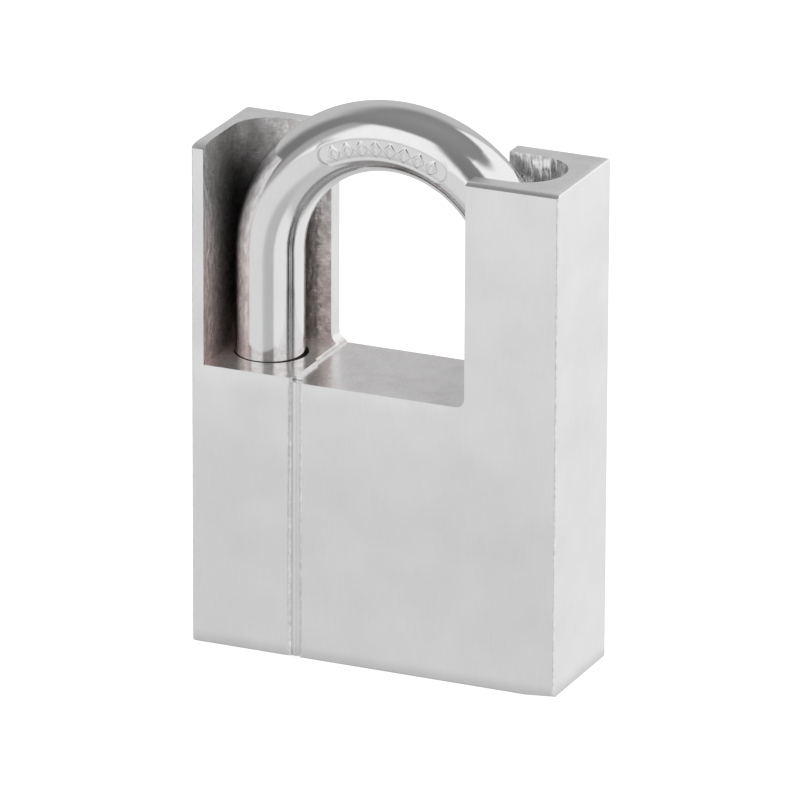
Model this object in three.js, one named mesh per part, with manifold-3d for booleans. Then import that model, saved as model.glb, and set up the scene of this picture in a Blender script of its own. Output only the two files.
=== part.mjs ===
// A closed-shackle padlock: a solid steel block with two shoulders that guard a
// chromed shackle, and a brass pin-tumbler cylinder that works two locking balls.
//
// Millimetres, +Z up. X runs across the front face, -Y is the front, and the
// origin is the centre of the underside. The shackle is down and the plug is turned
// a quarter to its open position, so both balls lie back from the shackle's legs.

import * as THREE from 'three';
import { mergeVertices } from 'three/addons/utils/BufferGeometryUtils.js';
import Module from 'manifold-3d';

const wasm = await Module();
wasm.setup();

// ---------------------------------------------------------------- dimensions

// Fits
const GAP = 0.3; // room between neighbouring pieces
const PAST = 1; // how far a cut runs beyond the face it opens

// Body block
const BODY_WIDTH = 60;
const BODY_DEPTH = 20;
const BODY_HEIGHT = 80;
const EDGE_ROUND = 0.4; // along the top and the underside
const CORNER_ROUND = 0.7; // up the four corners
const RIGHT = BODY_WIDTH / 2;
const BACK = BODY_DEPTH / 2;
const LEDGE_Z = 44.4; // floor of the opening under the shackle
const POCKET_Z = 45; // floor of the pocket around the toe leg
const STEP_X = -13.1; // the pocket's floor ends here and slopes to the ledge
const STEP_RUN = 1.3;
const FOOT_ROUND = 1.4; // where a shoulder rises from its floor

// Left shoulder: a side wall and a back wall, open to the front
const SIDE_WALL = 2;
const BACK_WALL = 3;
const BACK_WALL_END_X = -14.5;
const POCKET_ROUND = 6.5;

// Right shoulder: a channel around the heel leg, open to the middle
const RIGHT_SHOULDER_X = 15;
const CHANNEL_X = 20.3;
const CHANNEL_RADIUS = 6.5;

// Shackle
const BAR_RADIUS = 5.35;
const BOW_RADIUS = 20.65; // to the middle of the bar
const BOW_X = -0.8;
const BOW_Z = 61.45;
const LIFT = 17;
const TOE_END_Z = POCKET_Z + 0.8 - LIFT; // clear of the pocket's floor when lifted
const HEEL_END_Z = 11;
const LEG_HOLE_RADIUS = BAR_RADIUS + GAP;
const TOE_HOLE_Z = 25;
const HEEL_HOLE_Z = 3;
const TOE_X = BOW_X - BOW_RADIUS;
const HEEL_X = BOW_X + BOW_RADIUS;

// Locking balls, in a bore that crosses the block between the legs
const BALL_RADIUS = 5;
const BALL_Z = 35;
const BALL_BITE = 2; // how far a locked ball reaches into its leg
const BALL_TRAVEL = BALL_BITE + GAP;
const BALL_LOCKED = BOW_RADIUS - BAR_RADIUS + BALL_BITE - BALL_RADIUS; // from the axis
const BALL_OPEN = BALL_LOCKED - BALL_TRAVEL;
const BALL_BORE_RADIUS = BALL_RADIUS + GAP;
const NECK_RADIUS = BAR_RADIUS - BALL_BITE - 0.25; // lets the heel turn past its ball
const NECK_HALF = 4.5;

// Cylinder, from the underside
const CYLINDER_X = BOW_X;
const FACE_Z = 0.4;
const HOUSING_TOP_Z = 26.5;
const HOUSING_RADIUS = 7.3;
const CAVITY_RADIUS = HOUSING_RADIUS + GAP;
const PLUG_RADIUS = 5;
const PLUG_TOP_Z = 28.6;
const KEYWAY_TOP_Z = 25.2;
const PIN_ARM_REACH = 12.4; // of the arm that carries the pin chambers
const PIN_ARM_HALF = 3.4;
const PIN_ARM_CAVITY_TOP_Z = 28;

// Pin stacks: the plug's half of each, in the plug, meets the housing's half when
// the plug has turned back to its locked position
const PLUG_TURN = Math.PI / 2;
const PIN_COUNT = 5;
const PIN_FIRST_Z = 6;
const PIN_PITCH = 4.2;
const PIN_RADIUS = 1.2;
const PIN_BORE_RADIUS = PIN_RADIUS + GAP;
const PIN_BORE_FLOOR = -1.2;
const KEY_PIN_OUTER = 4.75;
const KEY_PIN_LENGTHS = [4.1, 5.0, 3.5, 4.6, 3.8];
const DRIVER_INNER = 5.45;
const DRIVER_LENGTH = 3.2;
const COVER_THICK = 0.6;
const COVER_HALF = 2.2;

// Plug clip, tang and cam
const CLIP_LOW_Z = HOUSING_TOP_Z + GAP;
const CLIP_THICK = 0.8;
const CLIP_GROOVE_RADIUS = 4;
const CLIP_OUTER = 6.6;
const CLIP_MOUTH = Math.PI / 3;
const TANG_HALF_X = 3;
const TANG_HALF_Y = 1.5;
const TANG_TOP_Z = 33;
const CAM_LOW_Z = 31.2;
const CAM_TOP_Z = 38.8;
const CAM_PLAY = 0.1; // between the cam's edge and a ball
const CAM_RADIUS = BALL_LOCKED - BALL_RADIUS - CAM_PLAY;

// Springs
const SHACKLE_SPRING_WIRE = 0.5;
const SHACKLE_SPRING_RADIUS = 4;
const SHACKLE_SPRING_TURNS = 4.5;
const PIN_SPRING_WIRE = 0.17;
const PIN_SPRING_RADIUS = 0.95;
const PIN_SPRING_TURNS = 4;

// Small pressed-in pieces
const RETAINING_PIN_RADIUS = 1.5;
const RETAINING_PIN_Z = 20;
const RETAINING_PIN_REACH = 7.6; // from the cylinder's axis
const RETAINING_PIN_FRONT_Y = -6;
const BORE_PLUG_INNER_X = TOE_X - LEG_HOLE_RADIUS - GAP;
const SEAM_X = -12.87; // middle of the narrow strip let into the front face
const SEAM_HALF = 0.95;
const SEAM_DEPTH = 1.4;
const STRIP_HALF = 0.65;

// ----------------------------------------------------------------- materials

function metal(color, roughness) {
  return new THREE.MeshStandardMaterial({ color, roughness, metalness: 1 });
}

const satinPlate = () => metal(0xd2d3d4, 0.36);
const mirrorChrome = () => metal(0xdfe1e3, 0.08);
const brass = () => metal(0xc7a45a, 0.32);
const springSteel = () => metal(0x9a9da1, 0.3);
const hardSteel = () => metal(0x86898d, 0.22);

// ------------------------------------------------------------ shape functions

function solid(geometry) {
  const bare = geometry.clone();
  bare.deleteAttribute('normal');
  bare.deleteAttribute('uv');
  const merged = mergeVertices(bare, 1e-4);
  return new wasm.Manifold(
    new wasm.Mesh({
      numProp: 3,
      vertProperties: Float32Array.from(merged.attributes.position.array),
      triVerts: Uint32Array.from(merged.index.array),
    }),
  );
}

function geometryOf(shape) {
  const mesh = shape.getMesh();
  const geometry = new THREE.BufferGeometry();
  geometry.setAttribute('position', new THREE.BufferAttribute(mesh.vertProperties, 3));
  geometry.setIndex(new THREE.BufferAttribute(mesh.triVerts, 1));
  geometry.computeVertexNormals();
  return geometry;
}

function cut(base, tools) {
  const result = tools.reduce((rest, tool) => rest.subtract(solid(tool)), solid(base));
  return geometryOf(result);
}

function join(pieces) {
  return geometryOf(pieces.map(solid).reduce((whole, piece) => whole.add(piece)));
}

// A flat outline in X and Y, raised from low to high in Z.
function prism(outline, low, high) {
  const geometry = new THREE.ExtrudeGeometry(outline, {
    depth: high - low,
    bevelEnabled: false,
    curveSegments: 8,
  });
  return geometry.translate(0, 0, low);
}

// An outline in X and Z, drawn out from front to back in Y.
function slab(outline, front, back) {
  return prism(outline, -back, -front).rotateX(Math.PI / 2);
}

function block(xLow, xHigh, yLow, yHigh, zLow, zHigh) {
  const geometry = new THREE.BoxGeometry(xHigh - xLow, yHigh - yLow, zHigh - zLow);
  return geometry.translate((xLow + xHigh) / 2, (yLow + yHigh) / 2, (zLow + zHigh) / 2);
}

// A round bar along Z.
function rod(radius, low, high, sides = 32) {
  const geometry = new THREE.CylinderGeometry(radius, radius, high - low, sides);
  return geometry.rotateX(Math.PI / 2).translate(0, 0, (low + high) / 2);
}

function rodAlongX(radius, low, high, sides = 32) {
  return rod(radius, low, high, sides).rotateY(Math.PI / 2);
}

function rodAlongY(radius, low, high, sides = 24) {
  return rod(radius, -high, -low, sides).rotateX(Math.PI / 2);
}

// A turned piece about Z, from [radius, z] points that start and end on the axis.
function turned(profile, sides) {
  const points = profile.map(([radius, z]) => new THREE.Vector2(radius, z));
  return new THREE.LatheGeometry(points, sides).rotateX(Math.PI / 2);
}

function circleOutline(radius, sides) {
  const shape = new THREE.Shape();
  for (let side = 0; side < sides; side += 1) {
    const angle = (2 * Math.PI * side) / sides;
    const x = radius * Math.cos(angle);
    const y = radius * Math.sin(angle);
    if (side === 0) shape.moveTo(x, y);
    else shape.lineTo(x, y);
  }
  return shape;
}

// A wire wound about Z, rising from low to high.
class Coil extends THREE.Curve {
  constructor(radius, low, high, turns) {
    super();
    Object.assign(this, { radius, low, high, turns });
  }

  getPoint(t, target = new THREE.Vector3()) {
    const angle = 2 * Math.PI * this.turns * t;
    const z = this.low + (this.high - this.low) * t;
    return target.set(this.radius * Math.cos(angle), this.radius * Math.sin(angle), z);
  }
}

function coilSpring(wire, radius, low, high, turns, stepsPerTurn, sides) {
  return new THREE.ExtrudeGeometry(circleOutline(wire, sides), {
    steps: Math.round(turns * stepsPerTurn),
    extrudePath: new Coil(radius, low + wire, high - wire, turns),
  });
}

// -------------------------------------------------------------------- pieces

function bodyOutline() {
  const x = RIGHT - CORNER_ROUND;
  const y = BACK - CORNER_ROUND;
  const shape = new THREE.Shape();
  shape.absarc(x, -y, CORNER_ROUND, -Math.PI / 2, 0);
  shape.absarc(x, y, CORNER_ROUND, 0, Math.PI / 2);
  shape.absarc(-x, y, CORNER_ROUND, Math.PI / 2, Math.PI);
  shape.absarc(-x, -y, CORNER_ROUND, Math.PI, 1.5 * Math.PI);
  return shape;
}

function roundedBlock() {
  const geometry = new THREE.ExtrudeGeometry(bodyOutline(), {
    depth: BODY_HEIGHT - 2 * EDGE_ROUND,
    bevelThickness: EDGE_ROUND,
    bevelSize: EDGE_ROUND,
    bevelOffset: -EDGE_ROUND,
    bevelSegments: 2,
    curveSegments: 2,
  });
  return geometry.translate(0, 0, EDGE_ROUND);
}

// The opening between the shoulders, seen from the front.
function openingOutline() {
  const top = BODY_HEIGHT + PAST;
  const wallFoot = POCKET_Z + FOOT_ROUND;
  const rightFoot = RIGHT_SHOULDER_X - FOOT_ROUND;
  const shape = new THREE.Shape();
  shape.moveTo(BACK_WALL_END_X, top);
  shape.lineTo(BACK_WALL_END_X, wallFoot);
  shape.absarc(BACK_WALL_END_X + FOOT_ROUND, wallFoot, FOOT_ROUND, Math.PI, 1.5 * Math.PI);
  shape.lineTo(STEP_X + STEP_RUN, LEDGE_Z);
  shape.absarc(rightFoot, LEDGE_Z + FOOT_ROUND, FOOT_ROUND, -Math.PI / 2, 0);
  shape.lineTo(RIGHT_SHOULDER_X, top);
  return shape;
}

// The left shoulder's pocket, seen from above: open to the front and the middle.
function pocketOutline() {
  const left = -RIGHT + SIDE_WALL;
  const back = BACK - BACK_WALL;
  const shape = new THREE.Shape();
  shape.moveTo(left, -BACK - PAST);
  shape.lineTo(STEP_X, -BACK - PAST);
  shape.lineTo(STEP_X, back);
  shape.absarc(left + POCKET_ROUND, back - POCKET_ROUND, POCKET_ROUND, Math.PI / 2, Math.PI);
  return shape;
}

// The right shoulder's channel, seen from above.
function channelOutline() {
  const shape = new THREE.Shape();
  shape.absarc(CHANNEL_X, 0, CHANNEL_RADIUS, -Math.PI / 2, Math.PI / 2);
  shape.lineTo(RIGHT_SHOULDER_X - PAST, CHANNEL_RADIUS);
  shape.lineTo(RIGHT_SHOULDER_X - PAST, -CHANNEL_RADIUS);
  return shape;
}

function retainingBore(radius, frontY, backY) {
  const bore = rodAlongY(radius, frontY, backY);
  return bore.translate(-RETAINING_PIN_REACH, 0, RETAINING_PIN_Z);
}

function bodyBlock() {
  const armHalf = PIN_ARM_HALF + GAP;
  const armReach = PIN_ARM_REACH + GAP;
  const fromCylinder = [
    rod(CAVITY_RADIUS, -PAST, BALL_Z + BALL_BORE_RADIUS, 48),
    block(0, armReach, -armHalf, armHalf, -PAST, PIN_ARM_CAVITY_TOP_Z),
    retainingBore(RETAINING_PIN_RADIUS + GAP, RETAINING_PIN_FRONT_Y - GAP, BACK + PAST),
  ];
  const cavities = fromCylinder.map((tool) => tool.translate(CYLINDER_X, 0, 0));
  const ballBore = rodAlongX(BALL_BORE_RADIUS, -RIGHT - PAST, HEEL_X, 32);
  return cut(roundedBlock(), [
    slab(openingOutline(), -BACK - PAST, BACK + PAST),
    prism(pocketOutline(), POCKET_Z, BODY_HEIGHT + PAST),
    prism(channelOutline(), LEDGE_Z, BODY_HEIGHT + PAST),
    rod(LEG_HOLE_RADIUS, TOE_HOLE_Z, POCKET_Z + PAST).translate(TOE_X, 0, 0),
    rod(LEG_HOLE_RADIUS, HEEL_HOLE_Z, LEDGE_Z + PAST).translate(HEEL_X, 0, 0),
    ballBore.translate(0, 0, BALL_Z),
    block(SEAM_X - SEAM_HALF, SEAM_X + SEAM_HALF, -BACK - PAST, -BACK + SEAM_DEPTH, -PAST, BODY_HEIGHT),
    ...cavities,
  ]);
}

// The line along the middle of the bar, from the toe's end over the bow to the
// heel's end, about the bow's centre. Each leg is one step and the bow takes the rest.
class ShackleLine extends THREE.Curve {
  constructor(bowSteps) {
    super();
    this.bowSteps = bowSteps;
    this.steps = bowSteps + 2;
  }

  bowAngle(t) {
    const step = THREE.MathUtils.clamp(t * this.steps - 1, 0, this.bowSteps);
    return Math.PI * (1 - step / this.bowSteps);
  }

  getPoint(t, target = new THREE.Vector3()) {
    const angle = this.bowAngle(t);
    const toeLength = BOW_Z - TOE_END_Z;
    const heelLength = BOW_Z - HEEL_END_Z;
    const toeRest = Math.max(0, 1 - t * this.steps);
    const heelRest = Math.max(0, 1 - (1 - t) * this.steps);
    const drop = toeRest * toeLength + heelRest * heelLength;
    return target.set(BOW_RADIUS * Math.cos(angle), 0, BOW_RADIUS * Math.sin(angle) - drop);
  }

  getTangent(t, target = new THREE.Vector3()) {
    const angle = this.bowAngle(t);
    return target.set(Math.sin(angle), 0, -Math.cos(angle));
  }

  getPointAt(u, target) {
    return this.getPoint(u, target);
  }

  getTangentAt(u, target) {
    return this.getTangent(u, target);
  }
}

// The ring cut from the heel so that, lifted, it turns past its ball but stays in.
function neckRing() {
  const outer = BAR_RADIUS + PAST;
  const slope = BAR_RADIUS - NECK_RADIUS + PAST;
  const points = [
    [NECK_RADIUS, -NECK_HALF],
    [outer, -NECK_HALF - slope / 2],
    [outer, NECK_HALF + slope / 2],
    [NECK_RADIUS, NECK_HALF],
    [NECK_RADIUS, -NECK_HALF],
  ];
  return turned(points, 24);
}

function ballNotch(side) {
  const notch = new THREE.SphereGeometry(BALL_RADIUS + GAP, 20, 12);
  return notch.rotateX(Math.PI / 2).translate(side * BALL_LOCKED, 0, BALL_Z - BOW_Z);
}

function legEndChamfer(x, endZ) {
  const drop = 1.2;
  const low = endZ - BOW_Z;
  const outer = BAR_RADIUS + PAST;
  const points = [
    [BAR_RADIUS - drop, low - PAST],
    [outer, low - PAST],
    [outer, low + drop + PAST],
    [BAR_RADIUS - drop, low],
    [BAR_RADIUS - drop, low - PAST],
  ];
  return turned(points, 24).translate(x, 0, 0);
}

function shackle() {
  const line = new ShackleLine(28);
  const bar = new THREE.ExtrudeGeometry(circleOutline(BAR_RADIUS, 24), {
    steps: line.steps,
    extrudePath: line,
  });
  return cut(bar, [
    ballNotch(-1),
    ballNotch(1),
    neckRing().translate(BOW_RADIUS, 0, BALL_Z - LIFT - BOW_Z),
    legEndChamfer(-BOW_RADIUS, TOE_END_Z),
    legEndChamfer(BOW_RADIUS, HEEL_END_Z),
  ]);
}

function ball() {
  return new THREE.SphereGeometry(BALL_RADIUS, 20, 12).rotateX(Math.PI / 2);
}

function pinBore(index, inner, outer) {
  const bore = rodAlongX(PIN_BORE_RADIUS, inner, outer, 12);
  return bore.translate(0, 0, PIN_FIRST_Z + index * PIN_PITCH);
}

function pinBores(inner, outer) {
  return Array.from({ length: PIN_COUNT }, (_, index) => pinBore(index, inner, outer));
}

function pinRowEnds(margin) {
  return [PIN_FIRST_Z - margin, PIN_FIRST_Z + (PIN_COUNT - 1) * PIN_PITCH + margin];
}

function cylinderHousing() {
  const shell = join([
    rod(HOUSING_RADIUS, FACE_Z, HOUSING_TOP_Z, 48),
    block(0, PIN_ARM_REACH, -PIN_ARM_HALF, PIN_ARM_HALF, FACE_Z, HOUSING_TOP_Z),
  ]);
  const [coverLow, coverHigh] = pinRowEnds(2 + GAP);
  const seatHalf = COVER_HALF + GAP;
  const seatX = PIN_ARM_REACH - COVER_THICK - GAP;
  return cut(shell, [
    rod(PLUG_RADIUS + GAP, -PAST, HOUSING_TOP_Z + PAST, 40),
    ...pinBores(PLUG_RADIUS - PAST, PIN_ARM_REACH),
    block(seatX, PIN_ARM_REACH + PAST, -seatHalf, seatHalf, coverLow, coverHigh),
    retainingBore(RETAINING_PIN_RADIUS + GAP, -BACK, BACK),
  ]);
}

// Three overlapping steps give the keyway its wards.
function keywaySlots() {
  return [
    block(-4.2, -1.3, -0.3, 1.1, -PAST, KEYWAY_TOP_Z),
    block(-1.5, 1.1, -0.9, 0.6, -PAST, KEYWAY_TOP_Z),
    block(0.9, 2.8, -0.5, 1, -PAST, KEYWAY_TOP_Z),
  ];
}

function plug() {
  const grooveLow = CLIP_LOW_Z - GAP;
  const grooveHigh = CLIP_LOW_Z + CLIP_THICK + GAP;
  const core = turned(
    [
      [0, FACE_Z],
      [PLUG_RADIUS, FACE_Z],
      [PLUG_RADIUS, grooveLow],
      [CLIP_GROOVE_RADIUS, grooveLow],
      [CLIP_GROOVE_RADIUS, grooveHigh],
      [PLUG_RADIUS, grooveHigh],
      [PLUG_RADIUS, PLUG_TOP_Z],
      [0, PLUG_TOP_Z],
    ],
    40,
  );
  const tang = block(-TANG_HALF_X, TANG_HALF_X, -TANG_HALF_Y, TANG_HALF_Y, KEYWAY_TOP_Z + 1, TANG_TOP_Z);
  return cut(join([core, tang]), [...keywaySlots(), ...pinBores(PIN_BORE_FLOOR, PLUG_RADIUS + PAST)]);
}

// The cam's edge at an angle from the hollow where a ball lies back: what is left when
// the ball comes out evenly over a quarter turn, either way.
function camEdge(angle) {
  const clear = BALL_RADIUS + CAM_PLAY;
  let edge = CAM_RADIUS;
  for (let turn = 0; turn <= 90; turn += 2) {
    const distance = BALL_OPEN + (BALL_TRAVEL * turn) / 90;
    [turn, -turn].forEach((degrees) => {
      const apart = angle - THREE.MathUtils.degToRad(degrees);
      const reach = clear ** 2 - (distance * Math.sin(apart)) ** 2;
      if (reach > 0 && Math.cos(apart) > 0) {
        edge = Math.min(edge, distance * Math.cos(apart) - Math.sqrt(reach));
      }
    });
  }
  return edge;
}

function camOutline() {
  const shape = new THREE.Shape();
  const points = 48;
  for (let point = 0; point < points; point += 1) {
    const angle = (2 * Math.PI * point) / points;
    const fromHollow = Math.asin(Math.abs(Math.cos(angle)));
    const edge = camEdge(fromHollow);
    const x = edge * Math.cos(angle);
    const y = edge * Math.sin(angle);
    if (point === 0) shape.moveTo(x, y);
    else shape.lineTo(x, y);
  }
  return shape;
}

function lockingCam() {
  const x = TANG_HALF_X + GAP;
  const y = TANG_HALF_Y + GAP;
  const slot = block(-x, x, -y, y, CAM_LOW_Z - PAST, TANG_TOP_Z + GAP);
  return cut(prism(camOutline(), CAM_LOW_Z, CAM_TOP_Z), [slot]);
}

function plugClip() {
  const half = CLIP_MOUTH / 2;
  const shape = new THREE.Shape();
  shape.absarc(0, 0, CLIP_OUTER, half, 2 * Math.PI - half);
  shape.absarc(0, 0, CLIP_GROOVE_RADIUS + GAP, 2 * Math.PI - half, half, true);
  return prism(shape, CLIP_LOW_Z, CLIP_LOW_Z + CLIP_THICK);
}

// A key pin along X, its cone towards the keyway and its outer end at x = 0.
function keyPin(length) {
  const tip = 0.8;
  const points = [
    [0, -length],
    [0.35, -length],
    [PIN_RADIUS, -length + tip],
    [PIN_RADIUS, 0],
    [0, 0],
  ];
  return turned(points, 12).rotateY(Math.PI / 2);
}

// A driver pin along X from x = 0, with a waist that resists picking.
function driverPin() {
  const waist = PIN_RADIUS - 0.25;
  const rim = 0.8;
  const points = [
    [0, 0],
    [PIN_RADIUS, 0],
    [PIN_RADIUS, rim],
    [waist, rim + 0.3],
    [waist, DRIVER_LENGTH - rim - 0.3],
    [PIN_RADIUS, DRIVER_LENGTH - rim],
    [PIN_RADIUS, DRIVER_LENGTH],
    [0, DRIVER_LENGTH],
  ];
  return turned(points, 12).rotateY(Math.PI / 2);
}

function pinSpring() {
  const low = DRIVER_INNER + DRIVER_LENGTH + GAP;
  const high = PIN_ARM_REACH - COVER_THICK - GAP;
  const spring = coilSpring(PIN_SPRING_WIRE, PIN_SPRING_RADIUS, 0, high - low, PIN_SPRING_TURNS, 8, 5);
  return spring.rotateY(Math.PI / 2);
}

function shackleSpring() {
  const low = HEEL_HOLE_Z + GAP;
  const high = HEEL_END_Z - GAP;
  return coilSpring(
    SHACKLE_SPRING_WIRE,
    SHACKLE_SPRING_RADIUS,
    low,
    high,
    SHACKLE_SPRING_TURNS,
    12,
    6,
  );
}

// ------------------------------------------------------------------ assembly

const padlock = new THREE.Group();

function place(parent, name, geometry, material, x = 0, y = 0, z = 0) {
  const mesh = new THREE.Mesh(geometry, material);
  mesh.name = name;
  mesh.position.set(x, y, z);
  parent.add(mesh);
}

place(padlock, 'body_block', bodyBlock(), satinPlate());
place(
  padlock,
  'seam_strip',
  new THREE.BoxGeometry(2 * STRIP_HALF, SEAM_DEPTH - GAP, LEDGE_Z - 2 * GAP),
  satinPlate(),
  SEAM_X,
  -BACK + (SEAM_DEPTH - GAP) / 2,
  LEDGE_Z / 2,
);

place(padlock, 'shackle', shackle(), mirrorChrome(), BOW_X, 0, BOW_Z);
place(padlock, 'shackle_spring', shackleSpring(), springSteel(), HEEL_X);
place(padlock, 'toe_ball', ball(), hardSteel(), CYLINDER_X - BALL_OPEN, 0, BALL_Z);
place(padlock, 'heel_ball', ball(), hardSteel(), CYLINDER_X + BALL_OPEN, 0, BALL_Z);
place(
  padlock,
  'ball_bore_plug',
  rodAlongX(BALL_RADIUS, -RIGHT + EDGE_ROUND / 2, BORE_PLUG_INNER_X),
  satinPlate(),
  0,
  0,
  BALL_Z,
);

const cylinder = new THREE.Group();
cylinder.position.x = CYLINDER_X;
padlock.add(cylinder);

place(cylinder, 'cylinder_housing', cylinderHousing(), brass());

const turning = new THREE.Group();
turning.rotation.z = PLUG_TURN;
cylinder.add(turning);

place(turning, 'plug', plug(), brass());
place(turning, 'plug_clip', plugClip(), springSteel());
place(turning, 'locking_cam', lockingCam(), hardSteel());
place(
  cylinder,
  'retaining_pin',
  rodAlongY(RETAINING_PIN_RADIUS, RETAINING_PIN_FRONT_Y, BACK - EDGE_ROUND / 2),
  hardSteel(),
  -RETAINING_PIN_REACH,
  0,
  RETAINING_PIN_Z,
);

const [coverLow, coverHigh] = pinRowEnds(2);
place(
  cylinder,
  'pin_chamber_cover',
  block(-COVER_THICK, 0, -COVER_HALF, COVER_HALF, coverLow, coverHigh),
  brass(),
  PIN_ARM_REACH,
);

// Each stack is a key pin in the plug, then a driver pin and a spring in the housing.
KEY_PIN_LENGTHS.forEach((length, index) => {
  const number = index + 1;
  const z = PIN_FIRST_Z + index * PIN_PITCH;
  const springX = DRIVER_INNER + DRIVER_LENGTH + GAP;
  place(turning, `key_pin_${number}`, keyPin(length), brass(), KEY_PIN_OUTER, 0, z);
  place(cylinder, `driver_pin_${number}`, driverPin(), hardSteel(), DRIVER_INNER, 0, z);
  place(cylinder, `pin_spring_${number}`, pinSpring(), springSteel(), springX, 0, z);
});

export default padlock;
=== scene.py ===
"""A closed-shackle padlock: satin-plated steel block, chromed shackle, brass cylinder."""

import math

import bmesh
import bpy
from mathutils import Matrix, Vector


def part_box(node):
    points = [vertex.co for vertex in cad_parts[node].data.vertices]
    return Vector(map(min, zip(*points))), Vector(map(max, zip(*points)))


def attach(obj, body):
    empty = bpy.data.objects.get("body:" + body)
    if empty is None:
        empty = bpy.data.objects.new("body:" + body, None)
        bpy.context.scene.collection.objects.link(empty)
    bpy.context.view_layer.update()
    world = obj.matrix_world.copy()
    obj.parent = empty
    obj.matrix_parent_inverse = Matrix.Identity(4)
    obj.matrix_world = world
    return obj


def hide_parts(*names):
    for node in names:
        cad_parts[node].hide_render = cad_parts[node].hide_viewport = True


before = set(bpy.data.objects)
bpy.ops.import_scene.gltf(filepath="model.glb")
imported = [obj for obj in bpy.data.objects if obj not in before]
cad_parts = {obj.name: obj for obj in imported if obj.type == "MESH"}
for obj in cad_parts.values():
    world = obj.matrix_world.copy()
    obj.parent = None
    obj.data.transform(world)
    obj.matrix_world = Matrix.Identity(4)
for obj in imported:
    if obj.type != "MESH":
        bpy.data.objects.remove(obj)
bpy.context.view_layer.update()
scene = bpy.context.scene
MM = 0.001

# ------------------------------------------------------------------ dimensions
# Millimetres, worked out from the frame's nodes where they give them.


def node_box(node):
    """The lowest and highest corners of a CAD node, in millimetres."""
    low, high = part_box(node)
    return Vector(low) / MM, Vector(high) / MM


BLOCK_LOW, BLOCK_HIGH = node_box("body_block")
SHACKLE_LOW, SHACKLE_HIGH = node_box("shackle")
HOUSING_LOW, HOUSING_HIGH = node_box("cylinder_housing")
PLUG_LOW, PLUG_HIGH = node_box("plug")
FIT = 0.08  # room round a piece in its bore
SUNK = 0.06  # how far a pin's end lies below the face it shows in

# The block, from its left shoulder to its right one
LEFT = BLOCK_LOW.x
RIGHT = BLOCK_HIGH.x
FRONT = BLOCK_LOW.y
BACK = BLOCK_HIGH.y
TOP = BLOCK_HIGH.z
CORNER_R = 0.3
TOP_EDGE_R = 0.45
FOOT_EDGE_R = 0.35
EDGE_STEPS = 8
EDGE_FINISH = 1  # the slot of the edges' finish in the block's list
LEDGE_Z = 44.4
POCKET_Z = 45.0
STEP_X = -13.1
STEP_FACE_X = -13.2
SIDE_WALL = 2.0
BACK_WALL = 3.0
POCKET_ROUND = 6.5
WALL_END_X = -14.5
WALL_FOOT = 2.4
WALL_FOOT_FRONT = -0.8
SHOULDER_X = 15.0
FOOT_ROUND = 1.4
CHANNEL_X = 20.3
CHANNEL_R = 6.5
SEAM_X = -12.87
SEAM_HALF = 1.2
SEAM_DEPTH = 1.4
SEAM_CHAMFER = 0.5
SEAM_SLOPE = 0.6

# The shackle, its holes and the ball bore
BAR_R = (SHACKLE_HIGH.y - SHACKLE_LOW.y) / 2
TOE_X = SHACKLE_LOW.x + BAR_R
HEEL_X = SHACKLE_HIGH.x - BAR_R
BOW_X = (TOE_X + HEEL_X) / 2
BOW_R = (HEEL_X - TOE_X) / 2
BOW_Z = SHACKLE_HIGH.z - BAR_R - BOW_R
TOE_END_Z = 28.8
HEEL_END_Z = SHACKLE_LOW.z
LEG_END_R = 1.2
LEG_GAP = 0.24
TOE_HOLE_Z = 25.0
HEEL_HOLE_Z = 3.0
NECK_Z = 18.0
NECK_HALF = 4.5
NECK_R = 3.1
BALL_Z = 35.0
BALL_R = 5.0
BALL_LOCKED = 12.3  # from the lock's middle to a ball that holds a leg
BALL_NOTCH_R = 5.3
CARTOUCHE_TURN = 89.5  # where its middle is round the bow, in degrees

# The cylinder: housing, plug, pins and cross pin
LOCK_X = BOW_X
HOUSING_R = 7.3
ARM_HALF = 3.4
ARM_BORE_HALF = ARM_HALF + 0.05
ARM_BORE_TOP_Z = 28.0
BORE_TOP_Z = 40.3
PLUG_R = 5.0
PLUG_SHOULDER_Z = 28.4
KEYWAY_TOP_Z = 25.2
CLIP_Z = 27.2
CLIP_HALF = 0.7
PIN_R = 1.2
PIN_ROWS = 5
PIN_HEIGHTS = [6.0 + 4.2 * row for row in range(PIN_ROWS)]
RETAINER_X = LOCK_X - 7.6
RETAINER_Z = 20.0
RETAINER_R = 1.5
RETAINER_HOLE_R = RETAINER_R + 0.06
RETAINER_FRONT = -6.0

# -------------------------------------------------------------------- materials


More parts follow.
